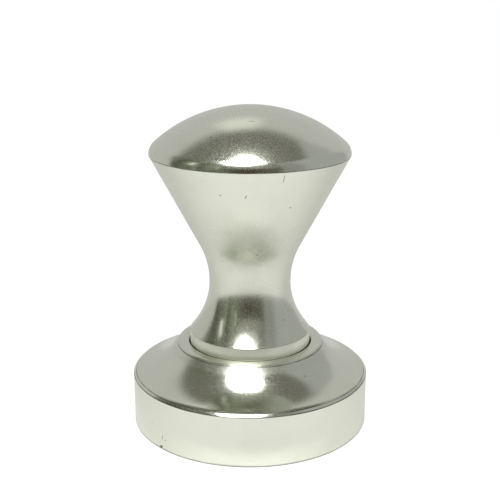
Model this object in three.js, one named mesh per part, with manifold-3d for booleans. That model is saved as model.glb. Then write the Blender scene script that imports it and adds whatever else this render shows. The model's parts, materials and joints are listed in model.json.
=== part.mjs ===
// A calibrated espresso tamper, in millimetres, +Z up. The tamping face lies on z = 0, and Z is the axis.
// The hourglass handle slides down into the base's collar against a spring, and a ball detent clicks.
import * as THREE from "three";
import { mergeVertices } from "three/addons/utils/BufferGeometryUtils.js";
import Module from "manifold-3d";

const wasm = await Module();
wasm.setup();

// Fits
const GAP = 0.3; // clearance between neighbouring pieces
const TRAVEL = 2.5; // how far the handle goes down into the collar
const EDGE = 0.25; // small broken edge

// Base: a turned disc with a coved shoulder and a raised collar
const BASE_R = 29;
const WALL_TOP = 12.35; // top of the straight side wall
const RIM_R = 28.4; // where the bevelled rim meets the cove
const RIM_Z = 12.95;
const COVE_TOP_R = 17.85;
const COVE_TOP_Z = 19.9;
const COVE_SLOPES = [52, 16, 33]; // degrees below level: at the collar, at the hollow, at the rim
const COLLAR_R = 17.65;
const COLLAR_TOP = 20.2;
const RECESS_R = 15.1;
const RECESS_FLOOR = 13;
const STUD_HOLE_R = 5;
const STUD_HOLE_Z = 5.2;

// Handle: foot band, waist, cone, rim and dome
const FOOT_R = RECESS_R - GAP;
const FOOT_TOP = 23.05;
const FOOT_BOTTOM = RECESS_FLOOR + TRAVEL + GAP;
const WAIST_R = 9.93;
const WAIST_Z = 35.5;
const WAIST_ARC = 20; // radius of the arc that runs from the waist into the cone
const FLARE_ANGLE = 39.7; // degrees from the axis, at the flare's lower edge
const FLARE_PULLS = [6.45, 2.8]; // how far the flare's curve holds its direction: lower edge, waist
const CONE_ANGLE = 27.9; // degrees from the axis
const HEAD_R = 23.9; // the head's widest circle
const HEAD_Z = 66.94;
const HEAD_CORNER = 0.3; // radius of the corner below that circle
const HEAD_ROUND = 3.26; // radius above it, up to the dome
const DOME_TOP = 78.03;
const DOME_R = 34.37;

// Bore of the handle
const NECK_BORE_R = 8.2; // takes the foot plug's threaded neck
const NECK_TOP = 31;
const BORE_R = 7.5;
const SHOULDER_Z = 45.8; // the detent sleeve butts on this shoulder
const CHAMBER_R = 6.9; // spring chamber
const CHAMBER_TOP = 67.4;

// Guide post
const POST_R = 4;
const STUD_R = 4.7;
const HEX_FLATS = 13;
const HEX_BOTTOM = 14.4;
const HEX_TOP = 15.4;
const POST_TOP = 47.5;
const SPIGOT_R = 2; // centres the lower spring seat
const SPIGOT_TOP = 49.8;
const CLIP_GROOVE_R = 3.3;
const CLIP_GROOVE_Z = 33.8;
const CLIP_THICK = 0.9;
const CLIP_R = 5.4;

// Foot plug's inside
const HEX_POCKET_R = 7.9;
const HEX_POCKET_TOP = HEX_TOP + TRAVEL + GAP;
const SEAL_POCKET_R = 6.3;
const SEAL_POCKET_TOP = HEX_POCKET_TOP + 2;
const BUSH_R = 5;
const BUSH_FLANGE_R = 7.2;
const BUSH_TOP = 32.5;
const STOP_WASHER_R = 7.1;
const SEAL_LIP = 0.5; // thickness of the seal's lip, and of its outer skirt
const SEAL_HEEL = 0.6; // thickness of the seal's top
const O_RING_Z = 24.85;
const O_RING_WIRE = 0.35;

// Dowels, spanner holes and the bumper in the recess floor
const DOWEL_R = 1.25;
const DOWEL_PLACE = 10.2; // distance from the axis
const DOWEL_BOTTOM = 8.3;
const DOWEL_TOP = 19.3;
const SPANNER_HOLE_R = 1.2;
const SPANNER_HOLE_DEPTH = 2.5;
const BUMPER_IN_R = 12.4;
const BUMPER_OUT_R = 14.2;
const BUMPER_THICK = 0.8;
const BUMPER_EDGE = 0.2;
const SLIT_TILT = 20; // degrees, the slanted slit of the lock washer

// Ball detent
const BALL_R = 1.5;
const BALL_PLACE = 4.1; // ball centre's distance from the axis at rest
const BALL_Z = 40;
const RAMP = 0.2; // how far a ball moves in for each millimetre that the handle goes down
const SLEEVE_R = BORE_R - GAP;
const SLEEVE_BOTTOM = CLIP_GROOVE_Z + TRAVEL + GAP;
const SLEEVE_TOP = SHOULDER_Z - GAP;

// Springs and their seats
const SEAT_R = 6.4;
const SEAT_HUB_R = 4.3;
const SEAT_THICK = 1.2;
const SEAT_HUB = 2;
const SHIM_THICK = 0.5;
const SHIM_COUNT = 2;
const SPRING_R = 5.5; // to the middle of the wire
const SPRING_WIRE = 0.8; // wire radius
const SPRING_TURNS = 6;
const CLOSED_PITCH = 1.9; // from one closed end turn to the next
const CLICK_SPRING_R = 1.05;
const CLICK_WIRE = 0.22;
const CLICK_TURNS = 5;

// Fineness
const FINE = 48; // sides of the large turned pieces
const COARSE = 28; // sides of the small turned pieces
const PIN_SIDES = 16;
const CURVE_STEPS = 5; // steps along an arc of a profile
const DOME_STEPS = 8;

const aluminium = { color: 0xdcdcd2, roughness: 0.3, metalness: 1 };
const steel = { color: 0xb9bcc0, roughness: 0.25, metalness: 1 };
const springSteel = { color: 0x8d9196, roughness: 0.35, metalness: 1 };
const bronze = { color: 0xb08a4e, roughness: 0.4, metalness: 1 };
const rubber = { color: 0x1c1c1c, roughness: 0.85, metalness: 0 };

const degrees = Math.PI / 180;
const point = (r, z) => new THREE.Vector2(r, z);

// Points on an arc round (r, z), angles in degrees from the +r direction towards +z.
function arc(r, z, radius, from, to, steps) {
  const turn = (i) => (from + ((to - from) * i) / steps) * degrees;
  return Array.from({ length: steps + 1 }, (_, i) =>
    point(r + radius * Math.cos(turn(i)), z + radius * Math.sin(turn(i))));
}

// A profile spun round the Z axis. It runs up the outside, and ends on the axis or closes on itself.
function turned(profile, sides = COARSE) {
  return new THREE.LatheGeometry(profile, sides).rotateX(Math.PI / 2);
}

// A ring with a rectangular section.
function ring(inner, outer, bottom, top) {
  const corners = [point(inner, bottom), point(outer, bottom), point(outer, top), point(inner, top)];
  return turned([...corners, corners[0]]);
}

// A round bar along Z with chamfered ends.
function pin(radius, bottom, top) {
  return turned([
    point(0, bottom),
    point(radius - EDGE, bottom),
    point(radius, bottom + EDGE),
    point(radius, top - EDGE),
    point(radius - EDGE, top),
    point(0, top),
  ], PIN_SIDES);
}

function solid(geometry) {
  const bare = geometry.clone();
  bare.deleteAttribute("normal");
  bare.deleteAttribute("uv");
  const merged = mergeVertices(bare);
  const index = Array.from(merged.index.array);
  const whole = [];
  for (let i = 0; i < index.length; i += 3) {
    const [a, b, c] = index.slice(i, i + 3);
    if (a !== b && b !== c && a !== c) whole.push(a, b, c);
  }
  return new wasm.Manifold(new wasm.Mesh({
    numProp: 3,
    vertProperties: new Float32Array(merged.attributes.position.array),
    triVerts: new Uint32Array(whole),
  }));
}

function geometryOf(manifold) {
  const mesh = manifold.getMesh();
  const geometry = new THREE.BufferGeometry();
  geometry.setAttribute("position", new THREE.BufferAttribute(new Float32Array(mesh.vertProperties), 3));
  geometry.setIndex(new THREE.BufferAttribute(new Uint32Array(mesh.triVerts), 1));
  geometry.computeVertexNormals();
  return geometry;
}

function cut(geometry, tools) {
  return geometryOf(tools.reduce((body, tool) => body.subtract(solid(tool)), solid(geometry)));
}

function joined(a, b) {
  return geometryOf(solid(a).add(solid(b)));
}

// The shoulder's S-curve, from the rim to the collar: a convex arc, then the hollow of the cove.
function coveProfile(steps) {
  const [collar, hollow, rim] = COVE_SLOPES.map((slope) => slope * degrees);
  const out = [Math.sin(collar) - Math.sin(hollow), Math.sin(rim) - Math.sin(hollow)];
  const down = [Math.cos(hollow) - Math.cos(collar), Math.cos(hollow) - Math.cos(rim)];
  const [width, drop] = [RIM_R - COVE_TOP_R, COVE_TOP_Z - RIM_Z];
  const scale = out[0] * down[1] - out[1] * down[0];
  const coveRadius = (width * down[1] - out[1] * drop) / scale;
  const rimRadius = (out[0] * drop - width * down[0]) / scale;
  const between = (from, to, i) => from + ((to - from) * i) / steps;
  const points = [];
  for (let i = 0; i <= steps; i++) {
    const slope = between(rim, hollow, i);
    const along = rimRadius * (Math.sin(rim) - Math.sin(slope));
    points.push(point(RIM_R - along, RIM_Z + rimRadius * (Math.cos(slope) - Math.cos(rim))));
  }
  const low = points[points.length - 1];
  for (let i = 1; i <= steps; i++) {
    const slope = between(hollow, collar, i);
    const along = coveRadius * (Math.sin(slope) - Math.sin(hollow));
    points.push(point(low.x - along, low.y + coveRadius * (Math.cos(hollow) - Math.cos(slope))));
  }
  return points;
}

function tampingBase() {
  const grooveFloor = RECESS_FLOOR - BUMPER_THICK - GAP;
  const body = turned([
    point(0, 0),
    point(BASE_R - EDGE, 0),
    point(BASE_R, EDGE),
    point(BASE_R, WALL_TOP),
    ...coveProfile(CURVE_STEPS),
    point(COLLAR_R, COLLAR_TOP),
    point(RECESS_R + EDGE, COLLAR_TOP),
    point(RECESS_R, COLLAR_TOP - EDGE),
    point(RECESS_R, RECESS_FLOOR),
    point(BUMPER_OUT_R + GAP, RECESS_FLOOR),
    point(BUMPER_OUT_R + GAP, grooveFloor),
    point(BUMPER_IN_R - GAP, grooveFloor),
    point(BUMPER_IN_R - GAP, RECESS_FLOOR),
    point(STUD_HOLE_R, RECESS_FLOOR),
    point(STUD_HOLE_R, STUD_HOLE_Z),
    point(0, STUD_HOLE_Z),
  ], FINE);
  const holes = [-1, 1].map((side) =>
    pin(DOWEL_R + GAP, DOWEL_BOTTOM - GAP, COLLAR_TOP).translate(side * DOWEL_PLACE, 0, 0));
  return cut(body, holes);
}

function handleShell() {
  const outer = [
    ...flareProfile(CURVE_STEPS),
    ...arc(WAIST_R + WAIST_ARC, WAIST_Z, WAIST_ARC, 180, 180 - CONE_ANGLE, CURVE_STEPS),
    ...arc(HEAD_R - HEAD_CORNER, HEAD_Z, HEAD_CORNER, -CONE_ANGLE, 0, 1),
    ...arc(HEAD_R - HEAD_ROUND, HEAD_Z, HEAD_ROUND, 0, domeAngle(), CURVE_STEPS).slice(1),
    ...arc(0, DOME_TOP - DOME_R, DOME_R, domeAngle(), 90, DOME_STEPS).slice(1),
  ];
  return turned([
    point(0, CHAMBER_TOP),
    point(CHAMBER_R, CHAMBER_TOP),
    point(CHAMBER_R, SHOULDER_Z),
    point(BORE_R, SHOULDER_Z),
    point(BORE_R, NECK_TOP + GAP),
    point(NECK_BORE_R, NECK_TOP + GAP),
    point(NECK_BORE_R, FOOT_TOP + GAP),
    ...outer,
  ], FINE);
}

// Angle above level of the line from the dome's centre through the head rounding's, on which the arcs meet.
function domeAngle() {
  return Math.atan2(HEAD_Z - (DOME_TOP - DOME_R), HEAD_R - HEAD_ROUND) / degrees;
}

// The flare from the foot band's edge up to just below the waist.
function flareProfile(steps) {
  const [edgePull, waistPull] = FLARE_PULLS;
  const [inward, upward] = [Math.sin(FLARE_ANGLE * degrees), Math.cos(FLARE_ANGLE * degrees)];
  const edge = point(FOOT_R - (GAP * inward) / upward, FOOT_TOP + GAP);
  const fromEdge = point(edge.x - edgePull * inward, edge.y + edgePull * upward);
  const fromWaist = point(WAIST_R, WAIST_Z - waistPull);
  const curve = new THREE.CubicBezierCurve(edge, fromEdge, fromWaist, point(WAIST_R, WAIST_Z));
  return curve.getPoints(steps).slice(0, -1);
}

function footPlug() {
  const grooveHalf = O_RING_WIRE + GAP;
  const neckR = NECK_BORE_R - GAP;
  const grooveR = neckR - 2 * O_RING_WIRE - GAP;
  const body = turned([
    point(HEX_POCKET_R, FOOT_BOTTOM),
    point(FOOT_R - EDGE, FOOT_BOTTOM),
    point(FOOT_R, FOOT_BOTTOM + EDGE),
    point(FOOT_R, FOOT_TOP - EDGE / 2),
    point(FOOT_R - EDGE / 2, FOOT_TOP),
    point(neckR, FOOT_TOP),
    point(neckR, O_RING_Z - grooveHalf),
    point(grooveR, O_RING_Z - grooveHalf),
    point(grooveR, O_RING_Z + grooveHalf),
    point(neckR, O_RING_Z + grooveHalf),
    point(neckR, NECK_TOP - EDGE),
    point(neckR - EDGE, NECK_TOP),
    point(BUSH_R + GAP, NECK_TOP),
    point(BUSH_R + GAP, SEAL_POCKET_TOP),
    point(SEAL_POCKET_R, SEAL_POCKET_TOP),
    point(SEAL_POCKET_R, HEX_POCKET_TOP),
    point(HEX_POCKET_R, HEX_POCKET_TOP),
    point(HEX_POCKET_R, FOOT_BOTTOM),
  ], FINE);
  const below = FOOT_BOTTOM - 1;
  const dowelHole = pin(DOWEL_R + GAP, below, DOWEL_TOP + TRAVEL + GAP);
  const spannerHole = pin(SPANNER_HOLE_R, below, FOOT_BOTTOM + SPANNER_HOLE_DEPTH);
  const holes = [-DOWEL_PLACE, DOWEL_PLACE].flatMap((place) => [
    dowelHole.clone().translate(place, 0, 0),
    spannerHole.clone().translate(0, place, 0),
  ]);
  return cut(body, holes);
}

function guidePost() {
  const shaft = turned([
    point(0, STUD_HOLE_Z + GAP),
    point(STUD_R - 2 * EDGE, STUD_HOLE_Z + GAP),
    point(STUD_R, STUD_HOLE_Z + GAP + 2 * EDGE),
    point(STUD_R, HEX_BOTTOM + EDGE),
    point(POST_R, HEX_BOTTOM + EDGE),
    point(POST_R, CLIP_GROOVE_Z),
    point(CLIP_GROOVE_R, CLIP_GROOVE_Z),
    point(CLIP_GROOVE_R, CLIP_GROOVE_Z + CLIP_THICK + 2 * GAP),
    point(POST_R, CLIP_GROOVE_Z + CLIP_THICK + 2 * GAP),
    point(POST_R, POST_TOP - EDGE),
    point(POST_R - EDGE, POST_TOP),
    point(SPIGOT_R, POST_TOP),
    point(SPIGOT_R, SPIGOT_TOP - EDGE),
    point(SPIGOT_R - EDGE, SPIGOT_TOP),
    point(0, SPIGOT_TOP),
  ]);
  const corner = HEX_FLATS / 2 / Math.cos(30 * degrees);
  const hex = turned([
    point(0, HEX_BOTTOM),
    point(corner, HEX_BOTTOM),
    point(corner, HEX_TOP),
    point(0, HEX_TOP),
  ], 6);
  const ballHole = pin(BALL_R + GAP, -2 * POST_R, 2 * POST_R).rotateY(Math.PI / 2);
  return cut(joined(shaft, hex), [ballHole.translate(0, 0, BALL_Z)]);
}

function postLockWasher() {
  const [bottom, top] = [RECESS_FLOOR + GAP, HEX_BOTTOM - GAP];
  const body = ring(STUD_R + GAP, HEX_FLATS / 2 + GAP, bottom, top);
  const slit = new THREE.BoxGeometry(2 * HEX_FLATS, GAP, 2 * STUD_R).rotateX(SLIT_TILT * degrees);
  return cut(body, [slit.translate(HEX_FLATS, 0, bottom)]);
}

function guideBush() {
  const inner = POST_R + GAP;
  const bottom = SEAL_POCKET_TOP + GAP;
  return turned([
    point(inner, bottom),
    point(BUSH_R - EDGE, bottom),
    point(BUSH_R, bottom + EDGE),
    point(BUSH_R, NECK_TOP + GAP),
    point(BUSH_FLANGE_R, NECK_TOP + GAP),
    point(BUSH_FLANGE_R, BUSH_TOP),
    point(inner, BUSH_TOP),
    point(inner, bottom),
  ]);
}

// Lip seal that wipes the post: a heel in the plug's pocket and a thinner lip below it.
function wiperSeal() {
  const [bottom, top] = [HEX_POCKET_TOP + GAP, SEAL_POCKET_TOP - GAP];
  const [inner, outer] = [POST_R + GAP, SEAL_POCKET_R - GAP];
  return turned([
    point(inner, bottom),
    point(inner + SEAL_LIP, bottom),
    point(inner + GAP + SEAL_LIP, top - SEAL_HEEL),
    point(outer - SEAL_LIP, top - SEAL_HEEL),
    point(outer - SEAL_LIP, bottom),
    point(outer, bottom),
    point(outer, top),
    point(inner + GAP, top),
    point(inner, bottom),
  ]);
}

function plugORing() {
  return turned(arc(NECK_BORE_R - GAP - O_RING_WIRE, O_RING_Z, O_RING_WIRE, -180, 180, 2 * CURVE_STEPS));
}

function bumperRing() {
  const top = RECESS_FLOOR;
  return turned([
    point(BUMPER_IN_R, top - BUMPER_THICK),
    point(BUMPER_OUT_R, top - BUMPER_THICK),
    point(BUMPER_OUT_R, top - BUMPER_EDGE),
    point(BUMPER_OUT_R - BUMPER_EDGE, top),
    point(BUMPER_IN_R + BUMPER_EDGE, top),
    point(BUMPER_IN_R, top - BUMPER_EDGE),
    point(BUMPER_IN_R, top - BUMPER_THICK),
  ]);
}

// An open clip that snaps into the post's groove, with a lug at each end.
function retainingRing() {
  const mouth = 28; // degrees to each side of +X
  const lugR = 0.9;
  const inner = CLIP_GROOVE_R + GAP;
  const middle = (inner + CLIP_R) / 2;
  const outline = new THREE.Shape();
  outline.absarc(0, 0, CLIP_R, mouth * degrees, (360 - mouth) * degrees, false);
  const end = (sign) => [middle * Math.cos(mouth * degrees), sign * middle * Math.sin(mouth * degrees)];
  outline.absarc(...end(-1), lugR, (360 - mouth) * degrees, (540 - mouth) * degrees, false);
  outline.absarc(0, 0, inner, (360 - mouth) * degrees, mouth * degrees, true);
  outline.absarc(...end(1), lugR, (mouth - 180) * degrees, mouth * degrees, false);
  const flat = { depth: CLIP_THICK, bevelEnabled: false, curveSegments: 2 * CURVE_STEPS };
  return new THREE.ExtrudeGeometry(outline, flat).translate(0, 0, CLIP_GROOVE_Z + GAP);
}

// Hardened sleeve whose bore narrows upwards: it presses the balls in as it comes down.
function detentSleeve() {
  const atBall = BALL_PLACE + (BALL_R + GAP) * Math.sqrt(1 + RAMP * RAMP);
  const rampBottom = BALL_Z - BALL_R - GAP;
  const rampTop = BALL_Z + BALL_R + TRAVEL + GAP;
  const wide = atBall + RAMP * (BALL_Z - rampBottom);
  const narrow = atBall - RAMP * (rampTop - BALL_Z);
  return turned([
    point(wide, SLEEVE_BOTTOM),
    point(SLEEVE_R - EDGE, SLEEVE_BOTTOM),
    point(SLEEVE_R, SLEEVE_BOTTOM + EDGE),
    point(SLEEVE_R, SLEEVE_TOP - EDGE),
    point(SLEEVE_R - EDGE, SLEEVE_TOP),
    point(narrow, SLEEVE_TOP),
    point(narrow, rampTop),
    point(wide, rampBottom),
    point(wide, SLEEVE_BOTTOM),
  ]);
}

function clickBall(side) {
  return new THREE.SphereGeometry(BALL_R, PIN_SIDES, 2 * CURVE_STEPS).translate(side * BALL_PLACE, 0, BALL_Z);
}

// A round wire coil along +Z from 0, with one closed turn at each end.
class Coil extends THREE.Curve {
  constructor(radius, turns, length, closedPitch) {
    super();
    Object.assign(this, { radius, turns, length, closedPitch });
  }
  getPoint(t, target = new THREE.Vector3()) {
    const wound = this.turns * t;
    const closed = Math.min(wound, 1) + Math.max(wound - (this.turns - 1), 0);
    const openPitch = (this.length - 2 * this.closedPitch) / (this.turns - 2);
    const turn = 2 * Math.PI * wound;
    const height = closed * this.closedPitch + (wound - closed) * openPitch;
    return target.set(this.radius * Math.cos(turn), this.radius * Math.sin(turn), height);
  }
}

function coilSpring(path, wire, stepsPerTurn, quarterSides) {
  const section = new THREE.Shape().absarc(0, 0, wire, 0, 2 * Math.PI);
  const steps = path.turns * stepsPerTurn;
  return new THREE.ExtrudeGeometry(section, { steps, curveSegments: quarterSides, extrudePath: path });
}

const lowerSeatTop = POST_TOP + GAP + SEAT_THICK;
const shimStack = SHIM_COUNT * (SHIM_THICK + GAP);
const upperSeatBottom = CHAMBER_TOP - shimStack - GAP - SEAT_THICK;

function mainSpring() {
  const bottom = lowerSeatTop + GAP + SPRING_WIRE;
  const top = upperSeatBottom - GAP - SPRING_WIRE;
  const path = new Coil(SPRING_R, SPRING_TURNS, top - bottom, CLOSED_PITCH);
  return coilSpring(path, SPRING_WIRE, 16, 4).translate(0, 0, bottom);
}

function clickSpring() {
  const half = BALL_PLACE - BALL_R - GAP - CLICK_WIRE;
  const pitch = (2 * half) / CLICK_TURNS;
  const path = new Coil(CLICK_SPRING_R, CLICK_TURNS, 2 * half, pitch);
  const spring = coilSpring(path, CLICK_WIRE, 12, 3).translate(0, 0, -half);
  return spring.rotateY(Math.PI / 2).translate(0, 0, BALL_Z);
}

// A seat washer with a hub that centres the spring's end; it stands on its flange at z = 0.
function springSeat(bore) {
  const corners = [
    point(bore, 0),
    point(SEAT_R, 0),
    point(SEAT_R, SEAT_THICK),
    point(SEAT_HUB_R, SEAT_THICK),
    point(SEAT_HUB_R - EDGE, SEAT_THICK + SEAT_HUB),
    point(bore, SEAT_THICK + SEAT_HUB),
  ];
  return turned([...corners, corners[0]]);
}

const group = new THREE.Group();

function add(name, geometry, finish) {
  const mesh = new THREE.Mesh(geometry, new THREE.MeshStandardMaterial(finish));
  mesh.name = name;
  group.add(mesh);
}

add("tamping_base", tampingBase(), aluminium);
add("bumper_ring", bumperRing(), rubber);
add("guide_post", guidePost(), steel);
add("post_lock_washer", postLockWasher(), steel);
for (const [name, side] of [["left", -1], ["right", 1]]) {
  const dowel = pin(DOWEL_R, DOWEL_BOTTOM, DOWEL_TOP).translate(side * DOWEL_PLACE, 0, 0);
  add(`dowel_pin_${name}`, dowel, steel);
  add(`click_ball_${name}`, clickBall(side), steel);
}
add("click_spring", clickSpring(), springSteel);
add("stop_washer", ring(POST_R + GAP, STOP_WASHER_R, BUSH_TOP + GAP, CLIP_GROOVE_Z), steel);
add("retaining_ring", retainingRing(), springSteel);
add("lower_spring_seat", springSeat(SPIGOT_R + GAP).translate(0, 0, POST_TOP + GAP), steel);
add("main_spring", mainSpring(), springSteel);
add("handle_shell", handleShell(), aluminium);
add("foot_plug", footPlug(), aluminium);
add("plug_o_ring", plugORing(), rubber);
add("wiper_seal", wiperSeal(), rubber);
add("guide_bush", guideBush(), bronze);
add("detent_sleeve", detentSleeve(), steel);
const upperSeatTop = upperSeatBottom + SEAT_THICK;
add("upper_spring_seat", springSeat(SPIGOT_R).rotateX(Math.PI).translate(0, 0, upperSeatTop), steel);
for (let i = 0; i < SHIM_COUNT; i++) {
  const bottom = upperSeatTop + GAP + i * (SHIM_THICK + GAP);
  add(`preload_shim_${i + 1}`, ring(SPIGOT_R, SEAT_R, bottom, bottom + SHIM_THICK), steel);
}

export default group;
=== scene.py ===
# %% [markdown]
# # A calibrated espresso tamper
# A tamper presses ground coffee flat in its basket. This one is turned from aluminium bar: a heavy base
# with a hollowed shoulder, and an hourglass handle whose satin foot slides down into the base's collar
# against a spring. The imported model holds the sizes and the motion. This script adds the fine surfaces and
# the finishes around it.

# %% Load the frame
import json
import math

import bpy
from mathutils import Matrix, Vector


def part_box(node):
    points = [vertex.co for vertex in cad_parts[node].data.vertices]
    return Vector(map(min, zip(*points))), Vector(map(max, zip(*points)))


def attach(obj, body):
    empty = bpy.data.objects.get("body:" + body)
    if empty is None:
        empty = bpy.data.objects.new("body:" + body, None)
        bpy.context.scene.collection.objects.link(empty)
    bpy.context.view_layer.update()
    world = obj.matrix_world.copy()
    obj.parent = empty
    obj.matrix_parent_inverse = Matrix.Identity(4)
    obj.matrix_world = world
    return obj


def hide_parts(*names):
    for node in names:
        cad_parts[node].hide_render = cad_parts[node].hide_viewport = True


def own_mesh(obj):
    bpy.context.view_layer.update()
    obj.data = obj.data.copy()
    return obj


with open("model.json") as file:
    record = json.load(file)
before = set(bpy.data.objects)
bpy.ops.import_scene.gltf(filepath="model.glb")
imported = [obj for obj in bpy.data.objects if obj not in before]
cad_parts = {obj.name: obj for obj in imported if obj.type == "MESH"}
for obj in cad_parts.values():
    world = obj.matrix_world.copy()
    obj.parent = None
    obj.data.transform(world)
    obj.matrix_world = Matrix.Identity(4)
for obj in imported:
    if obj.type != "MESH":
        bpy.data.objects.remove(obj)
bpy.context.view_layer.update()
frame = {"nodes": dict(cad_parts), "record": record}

MM = 0.001
nodes = frame["nodes"]

# %% [markdown]
# ## Camera
# The tamper is seen from a little above, close enough for some perspective: the base looks wider than the
# head. A lens of about 70 mm on a full frame, a quarter of a metre away, gives that look. It stands in the
# YZ plane, so the turned pieces stay symmetric in the picture.

# %% Camera
CAMERA_PLACE = (0, -0.2274, 0.1096)
CAMERA_PITCH = 16.33  # degrees below level
CAMERA_LENS = 70.26

camera_data = bpy.data.cameras.new("camera")
camera_data.lens = CAMERA_LENS
camera_data.sensor_width = 36
camera_data.clip_start = 0.01
camera = bpy.data.objects.new("camera", camera_data)
camera.location = CAMERA_PLACE
camera.rotation_euler = (math.radians(90 - CAMERA_PITCH), 0, 0)
bpy.context.scene.collection.objects.link(camera)
bpy.context.scene.camera = camera
bpy.context.scene.view_settings.view_transform = "Standard"

# %% [markdown]
# ## Helpers for modelling
# A lathe makes a round piece from its outline, and so does Blender's spin tool. Each turned piece starts as
# one vertex, which is extruded from point to point along half of its section and spun round the Z axis. An
# arc is worked out from its centre, radius and angles, so an outline holds only the points that its shape
# needs.

# %% Outline helpers
def deselect_everything():
    bpy.ops.object.select_all(action="DESELECT")


def arc(r, z, radius, start, end, steps):
    """Points on an arc round (r, z), angles in degrees from the +r direction towards +z."""
    turns = [math.radians(start + (end - start) * i / steps) for i in range(steps + 1)]
    return [(r + radius * math.cos(t), z + radius * math.sin(t)) for t in turns]


def bezier(a, b, c, d, steps):
    """Points on the cubic curve that leaves a towards b and reaches d from c."""
    points = []
    for i in range(steps + 1):
        t = i / steps
        weights = ((1 - t) ** 3, 3 * t * (1 - t) ** 2, 3 * t * t * (1 - t), t ** 3)
        points.append(tuple(sum(w * p[k] for w, p in zip(weights, (a, b, c, d))) for k in (0, 1)))
    return points


SIDES = 256  # sides of the large turned pieces


def turned(name, outline, sides=SIDES, closed=False):
    """A piece spun round the Z axis from its outline of (radius, height) points in millimetres."""
    deselect_everything()
    bpy.ops.mesh.primitive_plane_add(size=MM, location=(0, 0, 0))
    piece = bpy.context.object
    piece.name = piece.data.name = name
    bpy.ops.object.mode_set(mode="EDIT")
    bpy.ops.mesh.merge(type="CENTER")
    points = list(outline) + ([outline[0]] if closed else [])
    bpy.ops.transform.translate(value=(points[0][0] * MM, 0, points[0][1] * MM))
    for (r0, z0), (r1, z1) in zip(points, points[1:]):
        step = ((r1 - r0) * MM, 0, (z1 - z0) * MM)
        bpy.ops.mesh.extrude_vertices_move(TRANSFORM_OT_translate={"value": step})
    bpy.ops.mesh.select_all(action="SELECT")
    bpy.ops.mesh.spin(steps=sides, angle=2 * math.pi, center=(0, 0, 0), axis=(0, 0, 1))
    bpy.ops.mesh.select_all(action="SELECT")
    bpy.ops.mesh.remove_doubles(threshold=1e-7)
    bpy.ops.mesh.normals_make_consistent(inside=False)
    bpy.ops.object.mode_set(mode="OBJECT")
    return piece


def break_edges(piece, corners, width, steps=3):
    """Rounds the sharp rings that lie at these (radius, height) corners."""
    mesh = piece.data
    bpy.ops.object.mode_set(mode="EDIT")
    bpy.ops.mesh.select_mode(type="EDGE")
    bpy.ops.mesh.select_all(action="DESELECT")
    bpy.ops.object.mode_set(mode="OBJECT")

    def at_corner(vertex):
        r, z = math.hypot(vertex.co.x, vertex.co.y) / MM, vertex.co.z / MM
        return any(abs(r - cr) < 0.01 and abs(z - cz) < 0.01 for cr, cz in corners)

    chosen = {v.index for v in mesh.vertices if at_corner(v)}
    for edge in mesh.edges:
        edge.select = edge.vertices[0] in chosen and edge.vertices[1] in chosen
    bpy.ops.object.mode_set(mode="EDIT")
    bpy.ops.mesh.bevel(offset=width * MM, segments=steps, profile=0.5, clamp_overlap=True)
    bpy.ops.mesh.select_mode(type="VERT")
    bpy.ops.object.mode_set(mode="OBJECT")


def subtract(piece, cutter):
    """Cuts one shape out of a piece with the Boolean modifier."""
    deselect_everything()
    bpy.context.view_layer.objects.active = piece
    piece.select_set(True)
    cut = piece.modifiers.new("cut", "BOOLEAN")
    cut.operation = "DIFFERENCE"
    cut.solver = "EXACT"
    cut.object = cutter
    bpy.ops.object.modifier_apply(modifier=cut.name)
    bpy.data.objects.remove(cutter)


def bore(piece, places, radius, bottom, top, sides=32):
    """Bores round holes up or down into a piece."""
    for x, y in places:
        deselect_everything()
        middle = (x * MM, y * MM, (bottom + top) / 2 * MM)
        size = {"radius": radius * MM, "depth": (top - bottom) * MM}
        bpy.ops.mesh.primitive_cylinder_add(vertices=sides, location=middle, **size)
        subtract(piece, bpy.context.object)


SMOOTH_ANGLE = 28  # degrees; sharper edges stay sharp


def finish_piece(piece, body, node, material):
    """Shades the piece, gives it its finish, sets what it moves with and hides the imported part it stands
    for.
    """
    deselect_everything()
    piece.select_set(True)
    bpy.context.view_layer.objects.active = piece
    bpy.ops.object.shade_smooth_by_angle(angle=math.radians(SMOOTH_ANGLE))
    piece.data.materials.clear()
    piece.data.materials.append(material)
    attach(piece, body)
    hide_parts(node)
    faces = len(piece.data.polygons)
    print(f"{piece.name}: {faces} faces, {round(piece.dimensions.x / MM, 2)} mm across")

# %% [markdown]
# ## The finishes
# Bare aluminium that was turned, sanded and polished keeps a trace of each step. The lathe leaves rings
# finer than a hair, the sanding leaves a grain that breaks the edge of a highlight into sparkle, and use
# adds smudges, hairline scratches, small dark pits and worn edges. Each trace is a node group that puts out
# only a mask or a height, and every metal places it with its own values.

# %% Node helpers
def add_node(tree, kind, **settings):
    node = tree.nodes.new(kind)
    for key, value in settings.items():
        setattr(node, key, value)
    return node


def fill(tree, node, values):
    """Sets or links the named inputs of a node."""
    for label, value in values.items():
        socket = node.inputs[label.replace("_", " ")]
        if isinstance(value, bpy.types.NodeSocket):
            tree.links.new(value, socket)
        else:
            socket.default_value = value
    return node


def math_node(tree, operation, *values, clamp=False):
    node = add_node(tree, "ShaderNodeMath", operation=operation, use_clamp=clamp)
    for socket, value in zip(node.inputs, values):
        if isinstance(value, bpy.types.NodeSocket):
            tree.links.new(value, socket)
        else:
            socket.default_value = value
    return node.outputs[0]


def ramp(tree, value, start, end, first=0.0, last=1.0):
    """A soft step from first to last as the value goes from start to end."""
    node = add_node(tree, "ShaderNodeMapRange", interpolation_type="SMOOTHSTEP")
    fill(tree, node, {"Value": value, "From_Min": start, "From_Max": end, "To_Min": first, "To_Max": last})
    return node.outputs[0]


def noise(tree, vector, scale, detail=2.0, roughness=0.5):
    node = add_node(tree, "ShaderNodeTexNoise")
    fill(tree, node, {"Vector": vector, "Scale": scale, "Detail": detail, "Roughness": roughness})
    return node.outputs["Fac"]


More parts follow.
